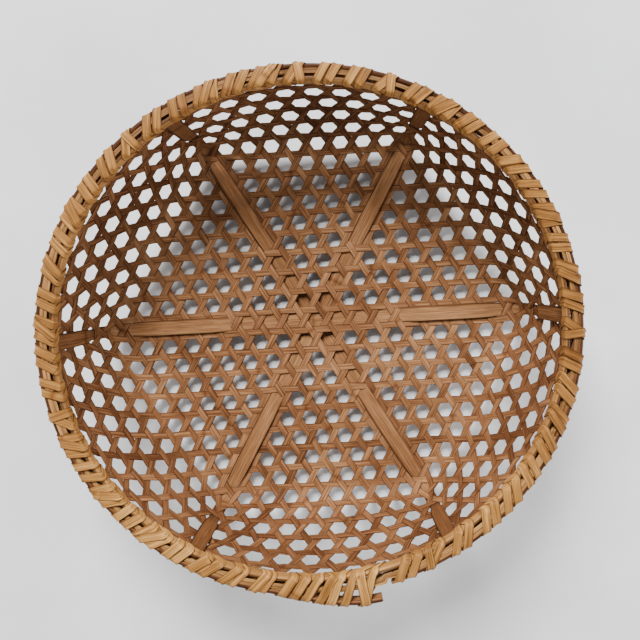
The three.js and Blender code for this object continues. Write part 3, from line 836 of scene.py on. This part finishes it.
def binding_path(first, columns):
    """Path of one length: over the rim at each column, mostly twice, then on to the next hole."""
    line = []
    for i in range(columns):
        for side, gap, slant, lift in turns_at(first - i):
            line += turn_points(first - i, side, gap, slant, lift, dice.uniform(*BINDING_WIDTHS))
    line = soften(line, 2)
    middle_r = (INNER_HOOP[0] + OUTER_HOOP[1]) / 2
    middle_z = (RIM_BOTTOM + RIM_TOP) / 2

    def path(share):
        place = share * (len(line) - 1)
        r, z, angle, wide, lift = (np.interp(place, np.arange(len(line)), v) for v in line.T)
        from_r, from_z = r - middle_r, z - middle_z
        ahead_r, ahead_z = np.gradient(r), np.gradient(z)
        size = np.maximum(np.hypot(ahead_r, ahead_z), TINY)
        out_r, out_z = -ahead_z / size, ahead_r / size
        turned = np.where(out_r * from_r + out_z * from_z < 0, -1, 1)
        out_r, out_z = out_r * turned, out_z * turned
        r, z = r + out_r * lift, z + out_z * lift
        centre = np.stack((r * np.cos(angle), r * np.sin(angle), z), -1)
        outward = np.stack((out_r * np.cos(angle), out_r * np.sin(angle), out_z), -1)
        return centre, outward, wide, np.ones(len(share))

    return path


def bind_rim():
    columns = COLUMNS // BINDINGS
    pattern = straight_bamboo("binding_pattern", BINDING_WIDTH, BINDING_THICKNESS, WORN_EDGE,
                              (30, 27))
    for i in range(BINDINGS):
        path = binding_path((i + 1) * columns - 1, columns)
        made = bend(pattern, f"binding_length_{i + 1}", path, BINDING,
                    dice.uniform(0.35, 0.65))
        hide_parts(f"rim_binding_{i + 1}")
    bpy.data.objects.remove(pattern)


# Stage


def pale_floor():
    bpy.ops.object.select_all(action="DESELECT")
    bpy.ops.mesh.primitive_plane_add(size=6, location=(0, 0, 0))
    floor = bpy.context.object
    floor.name = "pale_floor"
    material = bpy.data.materials.new("pale_plaster")
    material.use_nodes = True
    tree = material.node_tree
    shader = tree.nodes["Principled BSDF"]
    place = node(tree, "ShaderNodeTexCoord").outputs["Object"]
    cloud = stretched_noise(tree, place, (5, 5, 5), 6)
    color = ramp(tree, cloud, ((0.3, (0.60, 0.605, 0.61)), (0.7, (0.70, 0.705, 0.71))))
    tree.links.new(color, shader.inputs["Base Color"])
    shader.inputs["Roughness"].default_value = 0.9
    floor.data.materials.append(material)


def studio_light(name, place, target, size, power):
    lamp = bpy.data.lights.new(name, "AREA")
    lamp.size = size
    lamp.energy = power
    lamp_object = bpy.data.objects.new(name, lamp)
    lamp_object.location = place
    facing = Vector(target) - Vector(place)
    lamp_object.rotation_euler = facing.to_track_quat("-Z", "Y").to_euler()
    bpy.context.scene.collection.objects.link(lamp_object)


def light_and_camera():
    world = bpy.data.worlds.new("soft_room")
    world.use_nodes = True
    world.node_tree.nodes["Background"].inputs["Color"].default_value = (0.95, 0.97, 1, 1)
    world.node_tree.nodes["Background"].inputs["Strength"].default_value = 0.11
    bpy.context.scene.world = world
    studio_light("key", (-0.68, 3.05, 2.85), (0, 0, 0.05), 1.8, 565)
    studio_light("left_fill", (-1.9, -0.3, 0.42), (0, 0, 0.1), 0.8, 29)
    studio_light("right_fill", (1.9, -0.3, 0.42), (0, 0, 0.1), 0.8, 55)
    studio_light("front_fill", (0.2, -1.9, 0.42), (0, 0, 0.1), 0.8, 22)
    lens = bpy.data.cameras.new("camera")
    lens.sensor_width = 36
    # The photograph's lens has a focal length of about 620 of its 640 pixels.
    lens.lens = 620 / 640 * lens.sensor_width
    lens.shift_x = -0.021
    lens.shift_y = -0.055
    camera = bpy.data.objects.new("camera", lens)
    camera.location = (0.0186, 0.0419, 0.6806)
    camera.rotation_euler = [math.radians(a) for a in (-0.37, -0.24, -3.17)]
    bpy.context.scene.collection.objects.link(camera)
    bpy.context.scene.camera = camera


light_and_camera()
pale_floor()
weave_base_and_walls()
weave_wall()
tuck_in_bars()
bend_hoops()
lay_splints()
bind_rim()
